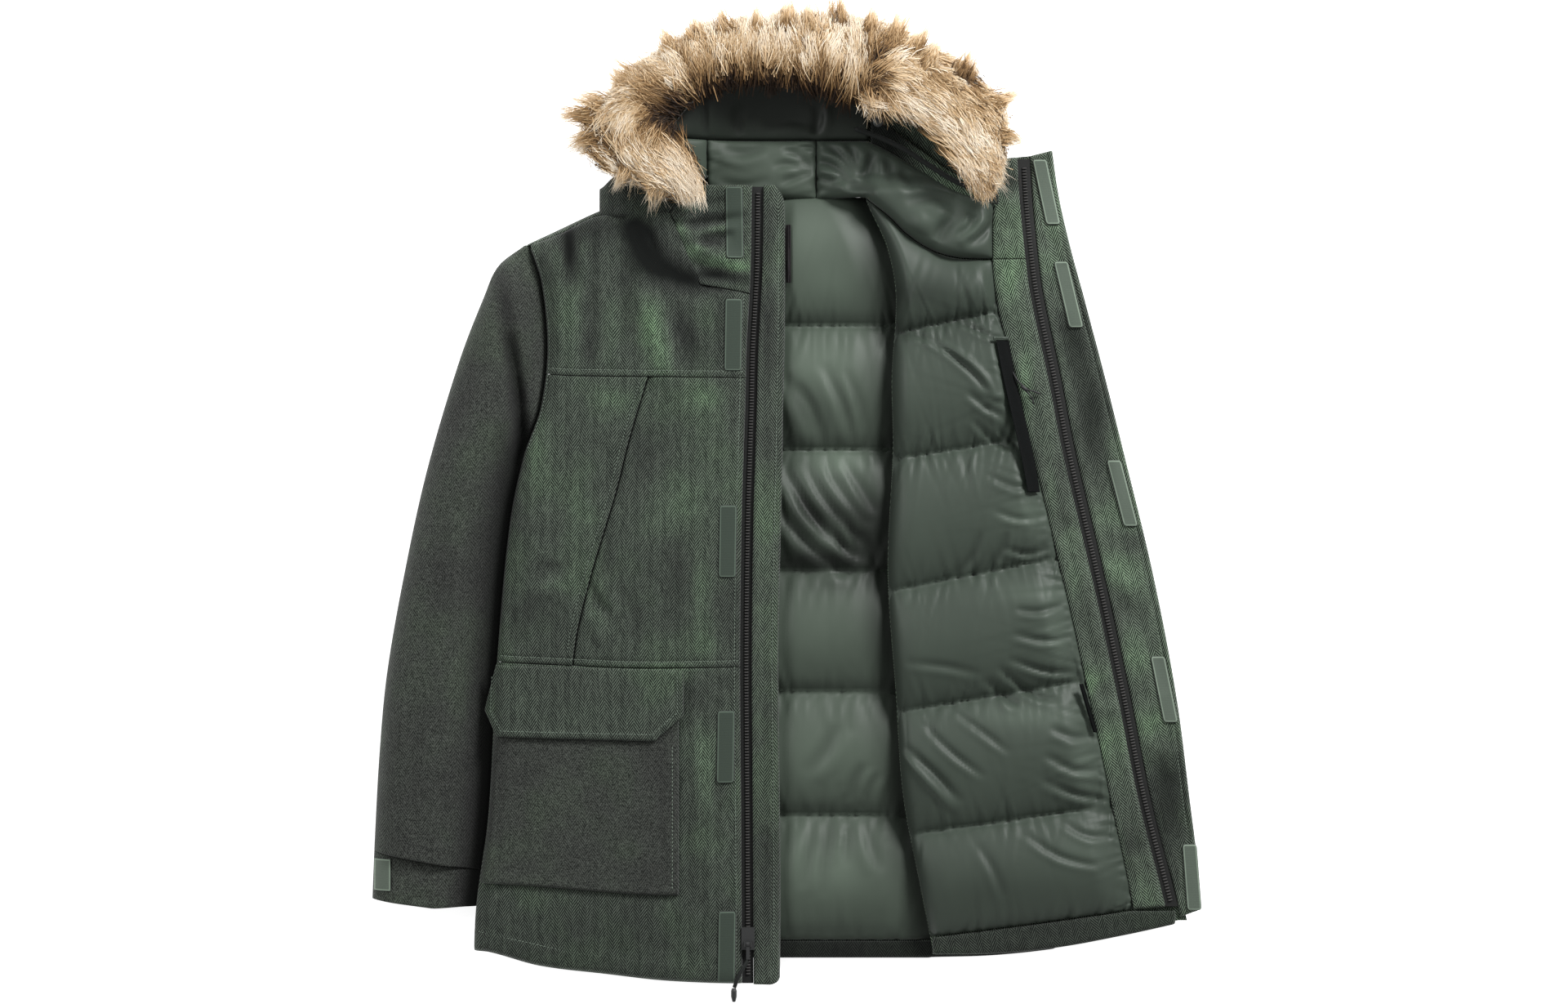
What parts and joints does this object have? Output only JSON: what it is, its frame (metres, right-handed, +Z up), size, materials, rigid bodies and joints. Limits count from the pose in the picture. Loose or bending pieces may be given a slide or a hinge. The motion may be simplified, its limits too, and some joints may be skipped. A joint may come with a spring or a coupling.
{
  "type": "hooded jacket",
  "caption": "Insulated hip-length hooded parka with a fur ruff, lying flat with one front closed and the other opened out to show its quilted lining.",
  "frame": {"origin": "on the flat underside of the back, below the chest of the closed right front, on the surface the jacket lies on", "axes": "+X towards the wearer's left, +Y towards the hood, +Z up from the surface"},
  "size_m": [0.8139, 0.9667, 0.0943],
  "materials": {
    "shell": "dark green heather herringbone twill, matt",
    "sleeve_shell": "dark green fine heather twill, matt",
    "lining": "sage green satin nylon over padding",
    "tab": "mid green hook and loop tape",
    "zip_tape": "black woven tape with moulded teeth",
    "hardware": "black moulded plastic and enamelled metal",
    "cord": "black braided cord",
    "pocket_mesh": "black pocket cloth",
    "label": "plain black woven label",
    "fur": "long-pile fur, beige tips over brown roots"
  },
  "bodies": {
    "jacket": {"back_shell": "shell", "back_lining": "lining", "back_hem": "shell", "back_yoke": "shell", "sleeve_right_upper": "sleeve_shell", "sleeve_right_under": "sleeve_shell", "cuff_right_upper": "sleeve_shell", "cuff_right_under": "sleeve_shell", "sleeve_left_upper": "sleeve_shell", "sleeve_left_under": "sleeve_shell", "cuff_left_upper": "sleeve_shell", "cuff_left_under": "sleeve_shell", "cuff_tab_right": "tab", "yoke_right": "shell", "side_panel_right": "shell", "front_panel_right": "shell", "skirt_right": "shell", "collar_right": "shell", "hood_side_right": "shell", "zip_tape_right": "zip_tape", "placket_right": "shell", "cargo_pocket_right": "shell", "cargo_flap_right": "shell", "loop_tab_1": "tab", "loop_tab_2": "tab", "loop_tab_3": "tab", "loop_tab_4": "tab", "loop_tab_5": "tab", "neck_label": "label", "front_left_shell": "shell", "collar_left_shell": "shell", "front_left_lining": "lining", "facing_left": "shell", "collar_facing_left": "shell", "zip_tape_left": "zip_tape", "storm_flap_left": "shell", "hook_tab_1": "tab", "hook_tab_2": "tab", "hook_tab_3": "tab", "hook_tab_4": "tab", "hook_tab_5": "tab", "front_left_hem": "shell", "chest_pocket_left": "pocket_mesh", "hood_outer": "shell", "hood_lining_centre": "lining", "hood_lining_right_side": "lining", "hood_crown": "lining", "hood_lining_left_side": "lining", "hood_edge_band": "shell", "fur_ruff": "fur", "zip_slider": "hardware"},
    "pull": {"zip_pull": "hardware", "zip_pull_cord": "cord", "zip_pull_end": "hardware"}
  },
  "joints": [
    {"name": "pull_hinge", "type": "hinge", "parent": "jacket", "child": "pull", "pos_m": [-0.00325, -0.364, 0.039], "axis": [-1, 0, 0], "range_deg": [0, 150]}
  ]
}
